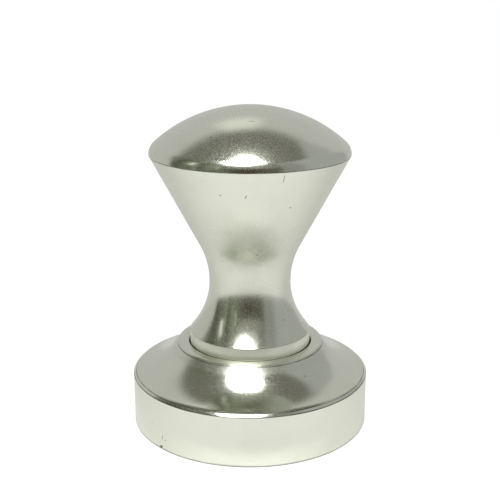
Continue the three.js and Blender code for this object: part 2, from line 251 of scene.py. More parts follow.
def stretched(tree, vector, scale):
    node = add_node(tree, "ShaderNodeMapping")
    fill(tree, node, {"Vector": vector, "Scale": scale})
    return node.outputs[0]


def mix_colour(tree, mask, first, second):
    node = add_node(tree, "ShaderNodeMix", data_type="RGBA")
    fill(tree, node, {"Factor": mask, "A": first, "B": second})
    return node.outputs["Result"]


def bump(tree, height, distance, normal=None):
    node = add_node(tree, "ShaderNodeBump")
    fill(tree, node, {"Height": height, "Distance": distance * MM})
    if normal:
        tree.links.new(normal, node.inputs["Normal"])
    return node.outputs["Normal"]


def from_axis(tree, parts):
    """The distance from the Z axis of a place that is already split into X, Y and Z."""
    across = math_node(tree, "MULTIPLY", parts.outputs["X"], parts.outputs["X"])
    both = math_node(tree, "MULTIPLY_ADD", parts.outputs["Y"], parts.outputs["Y"], across)
    return math_node(tree, "SQRT", both)


def new_group(name, output, **numbers):
    """An empty group with a Vector, some numbers and one output."""
    tree = bpy.data.node_groups.new(name, "ShaderNodeTree")
    tree.interface.new_socket("Vector", in_out="INPUT", socket_type="NodeSocketVector")
    for label, value in numbers.items():
        label = label.replace("_", " ")
        socket = tree.interface.new_socket(label, in_out="INPUT", socket_type="NodeSocketFloat")
        socket.default_value = value
    tree.interface.new_socket(output, in_out="OUTPUT", socket_type="NodeSocketFloat")
    return tree, add_node(tree, "NodeGroupInput").outputs, add_node(tree, "NodeGroupOutput").inputs[0]


def place_group(tree, group, **values):
    node = add_node(tree, "ShaderNodeGroup", node_tree=group)
    return fill(tree, node, values).outputs[0]


# %% [markdown]
# ### The lathe's rings
# A turning tool leaves a fine spiral. It could be modelled as real grooves, but they are far thinner than a
# face of any sensible mesh, so they are a relief in the finish. The noise is read along the radius and the
# height only, so it never changes round the axis, as on a turned piece.

# %% Turning marks
def make_turning_marks():
    """Rings left by the lathe: a height that changes with the radius and the height, never round the axis."""
    tree, given, out = new_group("turning_marks", "Height", Pitch=0.12)
    parts = add_node(tree, "ShaderNodeSeparateXYZ")
    tree.links.new(given["Vector"], parts.inputs[0])
    scale = math_node(tree, "DIVIDE", 1 / MM, given["Pitch"])
    place = add_node(tree, "ShaderNodeCombineXYZ")
    fill(tree, place, {"X": math_node(tree, "MULTIPLY", from_axis(tree, parts), scale),
                       "Z": math_node(tree, "MULTIPLY", parts.outputs["Z"], scale)})
    tree.links.new(noise(tree, place.outputs[0], 1.0, 3.0, 0.6), out)
    return tree


# %% [markdown]
# ### The sanding grain
# After turning, the piece is sanded by hand and then polished. What is left is a grain without direction.
# It gives the relief that breaks up the rim of a highlight, and its low spots are where the polish did not
# reach, so they stay frosted.

# %% Sanding grain
def make_grain():
    """The matt grain of fine sanding: a height in all directions, about a tenth of a millimetre across."""
    tree, given, out = new_group("sanding_grain", "Height", Size=0.12)
    fineness = math_node(tree, "DIVIDE", 1 / MM, given["Size"])
    tree.links.new(noise(tree, given["Vector"], fineness, 2.0), out)
    return tree


# %% [markdown]
# ### Smudges
# Fingers and cloths leave dull patches with no clear edge. A broad noise, cut softly, says where they are.
# They change the colour and the roughness a little, never the relief, because grease has no thickness at
# this size.

# %% Handling smudges
def make_smudges():
    """Dull patches where hands and cloths have been: a mask with soft edges, a few millimetres across."""
    tree, given, out = new_group("handling_smudges", "Mask", Size=9.0, Amount=0.5)
    broad = noise(tree, given["Vector"], math_node(tree, "DIVIDE", 1 / MM, given["Size"]), 5.0, 0.6)
    tree.links.new(math_node(tree, "MULTIPLY", ramp(tree, broad, 0.42, 0.72), given["Amount"]), out)
    return tree


# %% [markdown]
# ### Hairlines
# A tamper lies in drawers and turns in baskets, so its hairlines run up the piece and round it. A noise
# that is stretched strongly one way gives short lines of that direction, and only its highest peaks are
# kept.

# %% Hairline scratches
def make_scratches():
    """Short hairlines, some up the piece and some round it, where a long thin noise passes a limit."""
    tree, given, out = new_group("hairline_scratches", "Mask", Limit=0.7)
    upright = noise(tree, stretched(tree, given["Vector"], (2200, 2200, 110)), 1.0, 1.0)
    around = noise(tree, stretched(tree, given["Vector"], (90, 90, 3000)), 1.0, 1.0)
    strongest = math_node(tree, "MAXIMUM", upright, around)
    end = math_node(tree, "ADD", given["Limit"], 0.05)
    tree.links.new(ramp(tree, strongest, given["Limit"], end), out)
    return tree


# %% [markdown]
# ### Pits
# Coffee is acid and aluminium is soft, so small dark pits appear. Each cell of a Voronoi texture holds one.
# The cell's own random colour sets the size, so that most are too small to see and a few stand out.

# %% Pits
def make_pits():
    """Sparse dark specks where the metal's skin was hit or has corroded, each of its own size."""
    tree, given, out = new_group("pits", "Mask", Spacing=4.0, Size=0.2)
    cells = add_node(tree, "ShaderNodeTexVoronoi")
    density = math_node(tree, "DIVIDE", 1 / MM, given["Spacing"])
    fill(tree, cells, {"Vector": given["Vector"], "Scale": density})
    share = add_node(tree, "ShaderNodeSeparateColor")
    tree.links.new(cells.outputs["Color"], share.inputs[0])
    largest = math_node(tree, "DIVIDE", given["Size"], given["Spacing"])
    reach = math_node(tree, "MULTIPLY", share.outputs["Red"], largest)
    core = math_node(tree, "MULTIPLY", reach, 0.6)
    tree.links.new(ramp(tree, cells.outputs["Distance"], core, reach, 1.0, 0.0), out)
    return tree


# %% [markdown]
# ### Wear and painted shade at the edges
# Edges take the wear, and thin dark lines of painted shade go at edges and corners: they stand in for the
# shade at the foot and in the corners, and for the dark room mirrored in small edges. On a turned piece both
# lie in rings at a known height, so one group serves for all: a band round the height, broken up by noise
# so that it never looks drawn.

# %% Worn rings and rings of painted shade
FULL_SHARE = 0.4  # share of a mark's half width that has its full strength


def make_wear_and_shade_ring():
    """A mask round the piece at one height, broken up by noise: a rubbed edge, or a line of painted shade at
    an edge or corner.
    """
    tree, given, out = new_group("wear_and_shade_ring", "Mask", Height=0.0, Width=0.3, Patchiness=0.5)
    parts = add_node(tree, "ShaderNodeSeparateXYZ")
    tree.links.new(given["Vector"], parts.inputs[0])
    level = math_node(tree, "MULTIPLY", given["Height"], MM)
    away = math_node(tree, "ABSOLUTE", math_node(tree, "SUBTRACT", parts.outputs["Z"], level))
    full = math_node(tree, "MULTIPLY", given["Width"], FULL_SHARE * MM)
    ring = ramp(tree, away, full, math_node(tree, "MULTIPLY", given["Width"], MM), 1.0, 0.0)
    patches = ramp(tree, noise(tree, given["Vector"], 260.0, 4.0, 0.6), 0.35, 0.6)
    loss = math_node(tree, "MULTIPLY", math_node(tree, "SUBTRACT", 1.0, patches), given["Patchiness"])
    tree.links.new(math_node(tree, "MULTIPLY", ring, math_node(tree, "SUBTRACT", 1.0, loss)), out)
    return tree


# %% [markdown]
# ### Single marks
# A few marks are too particular for noise: a stroke under the head, the bruise at the foot of the wall.
# Each is a small soft patch, placed by its direction from the axis and its height.

# %% Knocks
def make_knock():
    """One short dark mark at an azimuth (0 is the front) and a height. Slant is sideways per upwards."""
    tree, given, out = new_group("knock", "Mask", Azimuth=0.0, Height=10.0, Width=0.2, Length=0.2, Slant=0.0)
    parts = add_node(tree, "ShaderNodeSeparateXYZ")
    tree.links.new(given["Vector"], parts.inputs[0])
    ahead = math_node(tree, "MULTIPLY", parts.outputs["Y"], -1.0)
    turn = math_node(tree, "ARCTAN2", parts.outputs["X"], ahead)
    off = math_node(tree, "SUBTRACT", turn, math_node(tree, "RADIANS", given["Azimuth"]))
    sideways = math_node(tree, "MULTIPLY", math_node(tree, "MULTIPLY", off, from_axis(tree, parts)), 1 / MM)
    upwards = math_node(tree, "MULTIPLY_ADD", parts.outputs["Z"], 1 / MM,
                        math_node(tree, "MULTIPLY", given["Height"], -1.0))
    lean = math_node(tree, "MULTIPLY", upwards, given["Slant"])
    sideways = math_node(tree, "ABSOLUTE", math_node(tree, "SUBTRACT", sideways, lean))
    upwards = math_node(tree, "ABSOLUTE", upwards)
    wide = ramp(tree, math_node(tree, "DIVIDE", sideways, given["Width"]), FULL_SHARE, 1.0, 1.0, 0.0)
    tall = ramp(tree, math_node(tree, "DIVIDE", upwards, given["Length"]), FULL_SHARE, 1.0, 1.0, 0.0)
    tree.links.new(math_node(tree, "MULTIPLY", wide, tall), out)
    return tree


turning_marks = make_turning_marks()
sanding_grain = make_grain()
handling_smudges = make_smudges()
hairline_scratches = make_scratches()
pits = make_pits()
wear_and_shade_ring = make_wear_and_shade_ring()
knock = make_knock()
print("node groups:", [group.name for group in bpy.data.node_groups])

# %% [markdown]
# ## The metal
# Every metal piece is made of the same layers with its own numbers: a clean colour, a dull colour where it
# was handled, dark pits, rubbed rings at the edges, thin dark rings of painted shade at edges and corners,
# and a roughness and relief from the grain, the lathe's rings and the scratches. The numbers are
# thousandths of a millimetre deep: more would look like cast metal.

# %% Metal builder
# kind: (brightness, roughness added)
# The darkest kind is painted shade: a thin dark ring at an edge or corner. The other two kinds are wear.
RING_KINDS = {"painted_shade": (0.18, 0.10), "rubbed": (1.0, -0.04), "gripped": (0.95, 0.14)}
SMUDGE_SIZE = 9.0
FROST_RANGE = (0.50, 0.66)  # part of the grain's height over which frost appears
PIT_SPACING = 4.5
PIT_BRIGHTNESS = 0.12
PIT_ROUGHNESS = 0.3
KNOCK_BRIGHTNESS = 0.2
SCRATCH_DEPTH = 0.0015
LEAST_ROUGHNESS = 0.02


def metal(name, clean, dull, roughness, grain, rings, dulling=0.06, smudges=0.6, scratches=0.74, frost=0.0,
          pit_size=0.0, wear_and_shade=(), knocks=()):
    """grain is (size, depth) and rings is (pitch, depth). The rings of wear and painted shade are listed as
    (kind, height, width, patchiness), and knocks lists (azimuth, height, width, length, slant)."""
    material = bpy.data.materials.new(name)
    material.use_nodes = True
    tree = material.node_tree
    shader = tree.nodes["Principled BSDF"]
    shader.inputs["Metallic"].default_value = 1.0
    place = add_node(tree, "ShaderNodeTexCoord").outputs["Object"]
    lathe = place_group(tree, turning_marks, Vector=place, Pitch=rings[0])
    sanded = place_group(tree, sanding_grain, Vector=place, Size=grain[0])
    smudged = place_group(tree, handling_smudges, Vector=place, Size=SMUDGE_SIZE, Amount=smudges)
    scratched = place_group(tree, hairline_scratches, Vector=place, Limit=scratches)

    colour = mix_colour(tree, smudged, (*clean, 1), (*dull, 1))
    rough = math_node(tree, "MULTIPLY_ADD", smudged, dulling, roughness - dulling / 2)
    rough = math_node(tree, "MULTIPLY_ADD", ramp(tree, sanded, *FROST_RANGE), frost, rough)
    rough = math_node(tree, "MULTIPLY_ADD", scratched, dulling, rough)
    if pit_size:
        pitted = place_group(tree, pits, Vector=place, Spacing=PIT_SPACING, Size=pit_size)
        colour = mix_colour(tree, pitted, colour, (*[c * PIT_BRIGHTNESS for c in clean], 1))
        rough = math_node(tree, "MULTIPLY_ADD", pitted, PIT_ROUGHNESS, rough)
    # Rubbed and gripped rings are wear; the dark rings darken the colour as painted shade.
    for kind, height, width, patchiness in wear_and_shade:
        brightness, added = RING_KINDS[kind]
        mask = place_group(tree, wear_and_shade_ring, Vector=place, Height=height, Width=width,
                           Patchiness=patchiness)
        colour = mix_colour(tree, mask, colour, (*[c * brightness for c in clean], 1))
        rough = math_node(tree, "MULTIPLY_ADD", mask, added, rough)
    for azimuth, height, width, length, slant in knocks:
        mask = place_group(tree, knock, Vector=place, Azimuth=azimuth, Height=height, Width=width,
                           Length=length, Slant=slant)
        colour = mix_colour(tree, mask, colour, (*[c * KNOCK_BRIGHTNESS for c in clean], 1))
    tree.links.new(colour, shader.inputs["Base Color"])
    tree.links.new(math_node(tree, "MAXIMUM", rough, LEAST_ROUGHNESS, clamp=True), shader.inputs["Roughness"])

    normal = bump(tree, sanded, grain[1])
    normal = bump(tree, lathe, rings[1], normal)
    normal = bump(tree, math_node(tree, "SUBTRACT", 1.0, scratched), SCRATCH_DEPTH, normal)
    tree.links.new(normal, shader.inputs["Normal"])
    return material


# %% [markdown]
# ### Which metal is where
# The base and the handle are the same bare aluminium, which is a little warm and greenish. The handle is
# gripped round the waist and so duller there. The foot band is left satin from fine turning, and its paler
# colour is painted light for the lamp light that the hollow shoulder throws up onto it. The pieces inside
# are plain machine parts: ground steel, spring wire and bearing bronze.

# %% The metals
ALUMINIUM = (0.79, 0.81, 0.705)
ALUMINIUM_DULL = (0.74, 0.755, 0.65)
# Paler than the bare aluminium as painted light: it stands in for the lamp light that the hollow shoulder
# throws up onto the foot band.
ALUMINIUM_PAINTED_BRIGHTER = (0.95, 0.96, 0.855)
LATHE_RINGS = (0.5, 0.0008)
BOTTOM_EDGE = 0.0
RIM_EDGES = (12.35, 12.95)  # where the bevel of the base's rim starts and ends
COLLAR_FOOT = 19.75
BAND_FOOT = 19.9
GRIP_HEIGHT = 44
HEAD_EDGE = 66.86

# The dark rings here are painted: painted shade along the bottom edge where the base stands on the table, a
# painted reflection of the dark room along both edges of the rim's bevel, and painted shade in the corner at
# the foot of the collar. The rubbed and gripped rings are wear.
BASE_WEAR_AND_SHADE = [
    ("painted_shade", BOTTOM_EDGE, 0.7, 0.2),
    ("rubbed", 0.9, 0.8, 0.6),
    ("painted_shade", RIM_EDGES[0], 0.15, 0.3),
    ("painted_shade", RIM_EDGES[1], 0.08, 0.6),
    ("gripped", 19.2, 1.4, 0.2),
    ("painted_shade", COLLAR_FOOT, 0.12, 0.7),
]
BASE_KNOCKS = [
    (-45, 3.3, 0.12, 0.7, 0.3),
    (-43, 2.9, 0.3, 0.12, 0.0),
    (-53, 5.6, 0.14, 0.2, 0.0),
    (-46, 0.8, 0.7, 0.35, 1.0),
    (62, 4.5, 0.12, 0.12, 0.0),
]
# The dark ring at the head's edge is a painted reflection: a dark line for the dark room mirrored in the
# small corner under the rim. The gripped and rubbed rings are wear.
HANDLE_WEAR_AND_SHADE = [
    ("gripped", GRIP_HEIGHT, 15, 0.2),
    ("rubbed", 65.6, 1.2, 0.6),
    ("painted_shade", HEAD_EDGE, 0.14, 0.2),
]
HANDLE_KNOCKS = [
    (18.5, 65.3, 0.10, 1.2, 0.0),
    (-18, 61.2, 0.22, 0.2, 0.0),
    (-2.5, 61, 0.15, 0.5, 0.4),
    (8, 45.4, 0.2, 0.2, 0.0),
    (-29, 73.2, 0.28, 0.12, 0.0),
    (2, 76.1, 0.9, 0.05, 0.0),
]
polish = {"rings": LATHE_RINGS, "dulling": 0.05, "smudges": 0.5, "scratches": 0.76, "pit_size": 0.24}
base_metal = metal("turned_aluminium", ALUMINIUM, ALUMINIUM_DULL, 0.13, (0.11, 0.0014), frost=0.17,
                   wear_and_shade=BASE_WEAR_AND_SHADE, knocks=BASE_KNOCKS, **polish)
handle_metal = metal("polished_aluminium", ALUMINIUM, ALUMINIUM_DULL, 0.15, (0.11, 0.0016), frost=0.24,
                     wear_and_shade=HANDLE_WEAR_AND_SHADE, knocks=HANDLE_KNOCKS, **polish)
# The foot band's paler colour is painted light, and the dark ring at its foot is painted shade where the band
# goes down into the collar's gap.
band_metal = metal("satin_aluminium", ALUMINIUM_PAINTED_BRIGHTER, ALUMINIUM_DULL, 0.50, (0.13, 0.0030), (0.2, 0.0020),
                   dulling=0.08, frost=0.10, pit_size=0.2, wear_and_shade=[("painted_shade", BAND_FOOT, 0.3, 0.3)])
steel = metal("ground_steel", (0.56, 0.57, 0.58), (0.45, 0.45, 0.44), 0.22, (0.08, 0.0010), (0.1, 0.0020))
wire = metal("spring_wire", (0.42, 0.43, 0.45), (0.30, 0.30, 0.30), 0.30, (0.15, 0.0020), (0.4, 0.0))
bronze = metal("bearing_bronze", (0.55, 0.36, 0.14), (0.36, 0.22, 0.09), 0.32, (0.12, 0.0030), (0.1, 0.0020))
print("metals:", [m.name for m in (base_metal, handle_metal, band_metal, steel, wire, bronze)])

# %% [markdown]
# ### The rubber
# Nitrile rubber is nearly black and has a faint grey bloom. It has no metal's mirror, only a dull sheen, so
# the bloom changes both the colour and the roughness.

# %% Rubber
def make_rubber():
    material = bpy.data.materials.new("nitrile_rubber")
    material.use_nodes = True
    tree = material.node_tree
    shader = tree.nodes["Principled BSDF"]
    place = add_node(tree, "ShaderNodeTexCoord").outputs["Object"]
    bloom = noise(tree, place, 900.0, 3.0)
    tree.links.new(mix_colour(tree, bloom, (0.012, 0.012, 0.012, 1), (0.045, 0.043, 0.040, 1)),
                   shader.inputs["Base Color"])
    tree.links.new(ramp(tree, bloom, 0.3, 0.7, 0.5, 0.7), shader.inputs["Roughness"])
    tree.links.new(bump(tree, noise(tree, place, 6000.0), 0.01), shader.inputs["Normal"])
    return material


rubber = make_rubber()

# %% [markdown]
# ## The base
# The base is a disc turned from bar. Its straight wall is a close fit in the basket and its shoulder is
# hollowed, which saves weight and throws a soft band of light. A flat ring stands up in the middle, the
# collar, and the recess inside it guides the handle's foot. The shoulder is two arcs that meet without a
# corner: the hollow, and a rounder one that turns over to the rim.

# %% Base sizes
low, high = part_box("tamping_base")
BASE_R = high.x / MM
COLLAR_TOP = high.z / MM
WALL_TOP = 12.35
RIM = (28.4, 12.95)
COVE_TOP = (17.85, 19.9)
COVE_SLOPES = (52, 16, 33)  # degrees below level: at the collar, in the hollow, at the rim
COLLAR_R = 17.65
RECESS_R = 15.1
RECESS_FLOOR = 13.0
BUMPER_GROOVE = (12.1, 14.5, 11.9)  # inner radius, outer radius, floor
STUD_HOLE = (5.0, 5.2)  # radius, floor
CHAMFER = 0.2
RIM_ROUND = 0.12
COLLAR_ROUND = 0.06
print("base radius", round(BASE_R, 2), "collar top", round(COLLAR_TOP, 2))


def shoulder(steps):
    """The S-curve from the rim up to the collar, as two arcs that share a slope."""
    collar, hollow, rim = [math.radians(slope) for slope in COVE_SLOPES]
    out = (math.sin(collar) - math.sin(hollow), math.sin(rim) - math.sin(hollow))
    down = (math.cos(hollow) - math.cos(collar), math.cos(hollow) - math.cos(rim))
    width, drop = RIM[0] - COVE_TOP[0], COVE_TOP[1] - RIM[1]
    scale = out[0] * down[1] - out[1] * down[0]
    cove_radius = (width * down[1] - out[1] * drop) / scale
    rim_radius = (out[0] * drop - width * down[0]) / scale
    points = []
    for i in range(steps + 1):
        slope = rim + (hollow - rim) * i / steps
        rise = rim_radius * (math.cos(slope) - math.cos(rim))
        points.append((RIM[0] - rim_radius * (math.sin(rim) - math.sin(slope)), RIM[1] + rise))
    start = points[-1]
    for i in range(1, steps + 1):
        slope = hollow + (collar - hollow) * i / steps
        rise = cove_radius * (math.cos(hollow) - math.cos(slope))
        points.append((start[0] - cove_radius * (math.sin(slope) - math.sin(hollow)), start[1] + rise))
    return points


# %% Base
groove_in, groove_out, groove_floor = BUMPER_GROOVE
base = turned("base", [
    (0, 0),
    (BASE_R - CHAMFER, 0),
    (BASE_R, CHAMFER),
    (BASE_R, WALL_TOP),
    *shoulder(24),
    (COLLAR_R, COLLAR_TOP),
    (RECESS_R + CHAMFER, COLLAR_TOP),
    (RECESS_R, COLLAR_TOP - CHAMFER),
    (RECESS_R, RECESS_FLOOR),
    (groove_out, RECESS_FLOOR),
    (groove_out, groove_floor),
    (groove_in, groove_floor),
    (groove_in, RECESS_FLOOR),
    (STUD_HOLE[0], RECESS_FLOOR),
    STUD_HOLE,
    (0, STUD_HOLE[1]),
])
break_edges(base, [(BASE_R, WALL_TOP), RIM], RIM_ROUND)
break_edges(base, [COVE_TOP, (COLLAR_R, COLLAR_TOP)], COLLAR_ROUND, 2)
print("base is turned:", len(base.data.polygons), "faces")

# %% [markdown]
# ## The handle
# The handle is one turned piece: a flare that meets the foot band at a sharp edge, a narrow waist for the
# fingers, a straight cone, a tight rim and a domed top for the palm. Its inside is bored from below for the
# plug, the bush and the spring. The flare is a cubic curve, the rest is arcs and a straight line that meet
# tangentially.

# %% Handle sizes
handle_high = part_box("handle_shell")[1]
band_low, band_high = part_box("foot_plug")
FOOT_R = band_high.x / MM
FOOT_TOP = 23.05
WAIST = (9.93, 35.5)
WAIST_ARC = 20.0
FLARE_ANGLE = 39.7  # degrees from the axis, at the lower edge
FLARE_PULLS = (6.45, 2.8)
CONE_ANGLE = 27.9
HEAD = (23.9, 66.94)  # the widest circle
HEAD_CORNER = 0.3  # radius of the corner below that circle
HEAD_ROUND = 3.26  # radius above it, up to the dome
DOME_TOP = handle_high.z / MM
DOME_R = 34.37
NECK_BORE = (8.2, 31.3)
MAIN_BORE = (7.5, 45.8)
CHAMBER = (6.9, 67.4)
SEAM = 0.04  # between the foot band and the flare
CONE_STEPS = 6


def flare(steps):
    """The flare's curve from the edge above the foot band up to the waist."""
    lean = math.radians(FLARE_ANGLE)
    seam = FOOT_TOP + SEAM
    edge = (FOOT_R - (seam - FOOT_TOP) * math.tan(lean), seam)
    from_edge = (edge[0] - FLARE_PULLS[0] * math.sin(lean), edge[1] + FLARE_PULLS[0] * math.cos(lean))
    from_waist = (WAIST[0], WAIST[1] - FLARE_PULLS[1])
    return bezier(edge, from_edge, from_waist, WAIST, steps)


# %% Handle
head_r, head_z = HEAD
dome_start = math.degrees(math.atan2(head_z - (DOME_TOP - DOME_R), head_r - HEAD_ROUND))
outside = flare(28)
outside += arc(WAIST[0] + WAIST_ARC, WAIST[1], WAIST_ARC, 180, 180 - CONE_ANGLE, 20)[1:]
cone_top = arc(head_r - HEAD_CORNER, head_z, HEAD_CORNER, -CONE_ANGLE, 0, 6)
cone_low = outside[-1]
for step in range(1, CONE_STEPS):
    share = step / CONE_STEPS
    outside.append(tuple(a + (b - a) * share for a, b in zip(cone_low, cone_top[0])))
outside += cone_top
outside += arc(head_r - HEAD_ROUND, head_z, HEAD_ROUND, 0, dome_start, 20)[1:]
outside += arc(0, DOME_TOP - DOME_R, DOME_R, dome_start, 90, 36)[1:]
handle = turned("handle", [
    (0, CHAMBER[1]),
    CHAMBER,
    (CHAMBER[0], MAIN_BORE[1]),
    MAIN_BORE,
    (MAIN_BORE[0], NECK_BORE[1]),
    NECK_BORE,
    (NECK_BORE[0], outside[0][1]),
    *outside,
])
print("handle is turned:", len(handle.data.polygons), "faces")

# %% [markdown]
# ## The foot plug
# The satin band under the handle is the rim of a plug that closes the handle from below and carries the
# bush. It slides in the collar with a fine gap all round. Its edges are broken lightly, and four holes are
# bored from below: two for the dowels that keep it from turning, and two for the pins of a spanner.

# %% Foot plug
FOOT_BOTTOM = band_low.z / MM
NECK_R = 7.9
PLUG_TOP = band_high.z / MM
HEX_POCKET = (7.9, 18.2)  # radius, top
SEAL_POCKET = (6.3, 20.2)
BUSH_BORE_R = 5.3
RING_GROOVE = (6.9, 24.2, 25.5)  # radius, lower face, upper face
BAND_BOTTOM_EDGE = 0.25
BAND_TOP_EDGE = 0.1
plug = turned("foot_plug_band", [
    (HEX_POCKET[0], FOOT_BOTTOM),
    (FOOT_R, FOOT_BOTTOM),
    (FOOT_R, FOOT_TOP),
    (NECK_R, FOOT_TOP),
    (NECK_R, RING_GROOVE[1]),
    (RING_GROOVE[0], RING_GROOVE[1]),
    (RING_GROOVE[0], RING_GROOVE[2]),
    (NECK_R, RING_GROOVE[2]),
    (NECK_R, PLUG_TOP),
    (BUSH_BORE_R, PLUG_TOP),
    (BUSH_BORE_R, SEAL_POCKET[1]),
    SEAL_POCKET,
    (SEAL_POCKET[0], HEX_POCKET[1]),
    HEX_POCKET,
], closed=True)
break_edges(plug, [(FOOT_R, FOOT_BOTTOM)], BAND_BOTTOM_EDGE)
break_edges(plug, [(FOOT_R, FOOT_TOP)], BAND_TOP_EDGE, 2)
# %% [markdown]
# ### The holes
# The dowel holes go up into the plug and down into the base. The spanner holes let the plug be screwed into
# the handle. They are drilled with a Boolean, as a drill would, after the turning.

# %% Holes
DOWEL_R = 1.25
DOWEL_HOLE_R = 1.55
DOWEL_HOLE_FLOOR = 8.0  # in the base
DOWEL_HOLE_TOP = 22.1  # in the plug
SPANNER_HOLE_R = 1.2
SPANNER_HOLE_DEPTH = 2.5
PAST = 1  # how far a drill starts outside the metal

hole_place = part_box("dowel_pin_right")[1].x / MM - DOWEL_R
dowel_holes = [(hole_place, 0), (-hole_place, 0)]
spanner_holes = [(0, hole_place), (0, -hole_place)]
bore(plug, dowel_holes, DOWEL_HOLE_R, FOOT_BOTTOM - PAST, DOWEL_HOLE_TOP)
bore(plug, spanner_holes, SPANNER_HOLE_R, FOOT_BOTTOM - PAST, FOOT_BOTTOM + SPANNER_HOLE_DEPTH)
bore(base, dowel_holes, DOWEL_HOLE_R, DOWEL_HOLE_FLOOR, RECESS_FLOOR + PAST)
print("holes at", round(hole_place, 2), "mm from the axis")

# %% [markdown]
# ## Knocks on the edges
# A tamper is dropped and knocked on the machine, always on an edge. Each knock is a small dent cut with a
# ball, so it shows in the outline too. The long shallow ones come from the grinder's fork, the deeper one
# from a fall.

# %% Dents
# piece: (azimuth, distance from the axis, height, ball radius)
DENTS = {
    base: [
        (-46, 29.25, 0.1, 0.62),
        (-44.2, 29.3, 0.2, 0.42),
        (35, 29.2, 12.5, 0.32),
        (-28, 29.15, 12.6, 0.26),
    ],
    handle: [(58.5, 24.02, 66.95, 0.34), (-63, 24.0, 66.9, 0.26), (-38, 24.05, 66.85, 0.22)],
}


def dent(piece, azimuth, distance, height, radius):
    deselect_everything()
    turn = math.radians(azimuth)
    place = Vector((math.sin(turn) * distance, -math.cos(turn) * distance, height)) * MM
    bpy.ops.mesh.primitive_ico_sphere_add(subdivisions=3, radius=radius * MM, location=place)
    subtract(piece, bpy.context.object)


for piece, places in DENTS.items():
    for azimuth, distance, height, radius in places:
        dent(piece, azimuth, distance, height, radius)
    print(piece.name, "has", len(places), "dents")

# %% Finish the large pieces
finish_piece(base, "base", "tamping_base", base_metal)
finish_piece(handle, "handle", "handle_shell", handle_metal)
finish_piece(plug, "handle", "foot_plug", band_metal)

# %% [markdown]
# ## The two springs
# Both springs are round wire coils. The main spring's end turns lie close together, so that it stands flat
# on its seats, and the turns between them are open. The small click spring lies across the post between the
# two balls. Each coil is drawn as a curve with a round section and then made into a mesh.

# %% Coils
SPRING_STEPS = 48  # points on one turn


def coil(name, radius, wire_radius, turns, length, end_pitch, place):
    """A round wire coil whose end turns rise by end_pitch. place(x, y, along) says where a point lies."""
    deselect_everything()
    open_pitch = (length - 2 * end_pitch) / (turns - 2)
    curve = bpy.data.curves.new(name, "CURVE")
    curve.dimensions = "3D"
    curve.bevel_depth = wire_radius * MM
    curve.bevel_resolution = 4
    curve.use_fill_caps = True
    spline = curve.splines.new("POLY")
    spline.points.add(turns * SPRING_STEPS)
    for step, spot in enumerate(spline.points):
        wound = step / SPRING_STEPS
        closed = min(wound, 1) + max(wound - (turns - 1), 0)
        along = closed * end_pitch + (wound - closed) * open_pitch
        turn = math.tau * wound
        spot.co = (*[c * MM for c in place(radius * math.cos(turn), radius * math.sin(turn), along)], 1)
    piece = bpy.data.objects.new(name, curve)
    bpy.context.scene.collection.objects.link(piece)
    piece.select_set(True)
    bpy.context.view_layer.objects.active = piece
    bpy.ops.object.convert(target="MESH")
    return bpy.context.object


# %% Main spring
MAIN_WIRE = 0.8
MAIN_TURNS = 6
MAIN_END_PITCH = 1.9
low, high = [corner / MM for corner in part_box("main_spring")]
main_start = low.z + MAIN_WIRE
main_length = high.z - low.z - 2 * MAIN_WIRE
main_spring = coil(
    "main_spring_coil", high.x - MAIN_WIRE, MAIN_WIRE, MAIN_TURNS, main_length, MAIN_END_PITCH,
    lambda x, y, along: (x, y, main_start + along))
finish_piece(main_spring, "base", "main_spring", wire)
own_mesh(main_spring)
print("main spring is", round(high.z - low.z, 2), "mm long")

# %% [markdown]
# ### The click spring
# The click spring is a short thin coil that pushes the two balls apart. It shortens from both ends at once.

# %% Click spring
CLICK_WIRE = 0.22
CLICK_TURNS = 5
low, high = [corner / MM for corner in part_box("click_spring")]
click_z = (low.z + high.z) / 2
click_start = low.x + CLICK_WIRE
click_length = high.x - low.x - 2 * CLICK_WIRE
click_spring = coil(
    "click_spring_coil", (high.y - low.y) / 2 - CLICK_WIRE, CLICK_WIRE, CLICK_TURNS, click_length,
    click_length / CLICK_TURNS, lambda x, y, along: (click_start + along, y, click_z + x))
finish_piece(click_spring, "base", "click_spring", wire)
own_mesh(click_spring)
print("click spring is", round(high.x - low.x, 2), "mm long")

# %% [markdown]
# ## The pieces inside
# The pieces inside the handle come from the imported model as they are. Each gets the finish of its own
# material: ground steel for the post, pins, balls and washers, grey wire for the springs and the clip,
# bronze for the bush and black rubber for the seals.

# %% Finishes of the inner pieces
INNER_FINISHES = {
    "hardened_steel": steel,
    "spring_steel": wire,
    "bearing_bronze": bronze,
    "black_rubber": rubber,
}
slot_of = {part["node"]: part["material_slot"] for part in frame["record"]["subparts"]}
for name, node in nodes.items():
    finish = INNER_FINISHES.get(slot_of[name])
    if finish:
        node.data.materials.clear()
        node.data.materials.append(finish)
        print(name, "->", finish.name)

# %% [markdown]
# ## The studio
# The tamper stands near the front edge of a plain white round table in a light room. A polished round piece
# shows the whole room, so the room is drawn as soft panels on the sky: a pale backdrop behind, a grey wall
# on the right, a darker room in front and on the left with a window, a dim ceiling, and a big round lamp
# overhead that leans to the front. The camera sees plain white behind the tamper, with a faint shadow at
# its foot.

# %% Table
TABLE_R = 0.30
TABLE_FRONT = -0.135
TABLE_THICK = 0.02
TABLE_PAINT = (0.72, 0.72, 0.72, 1)
TABLE_ROUGHNESS = 0.9
TABLE_WHITE = 0.72  # share of plain white that the camera sees
TABLE_WHITE_STRENGTH = 1.25
# The table's emission is painted light: a glow stronger in front than behind, and a painted pool of light
# close in front of the base.
TABLE_PAINTED_GLOW = (0.36, 0.08, 0.32)  # in front, behind, and added close to the base
GLOW_CHANGE = (-0.06, 0.06)  # along Y, from front to behind
CLOSE_REACH = (0.029, 0.042)  # from the axis
CLOSE_FRONT = (-0.036, -0.020)  # along Y: the close glow lies in front only

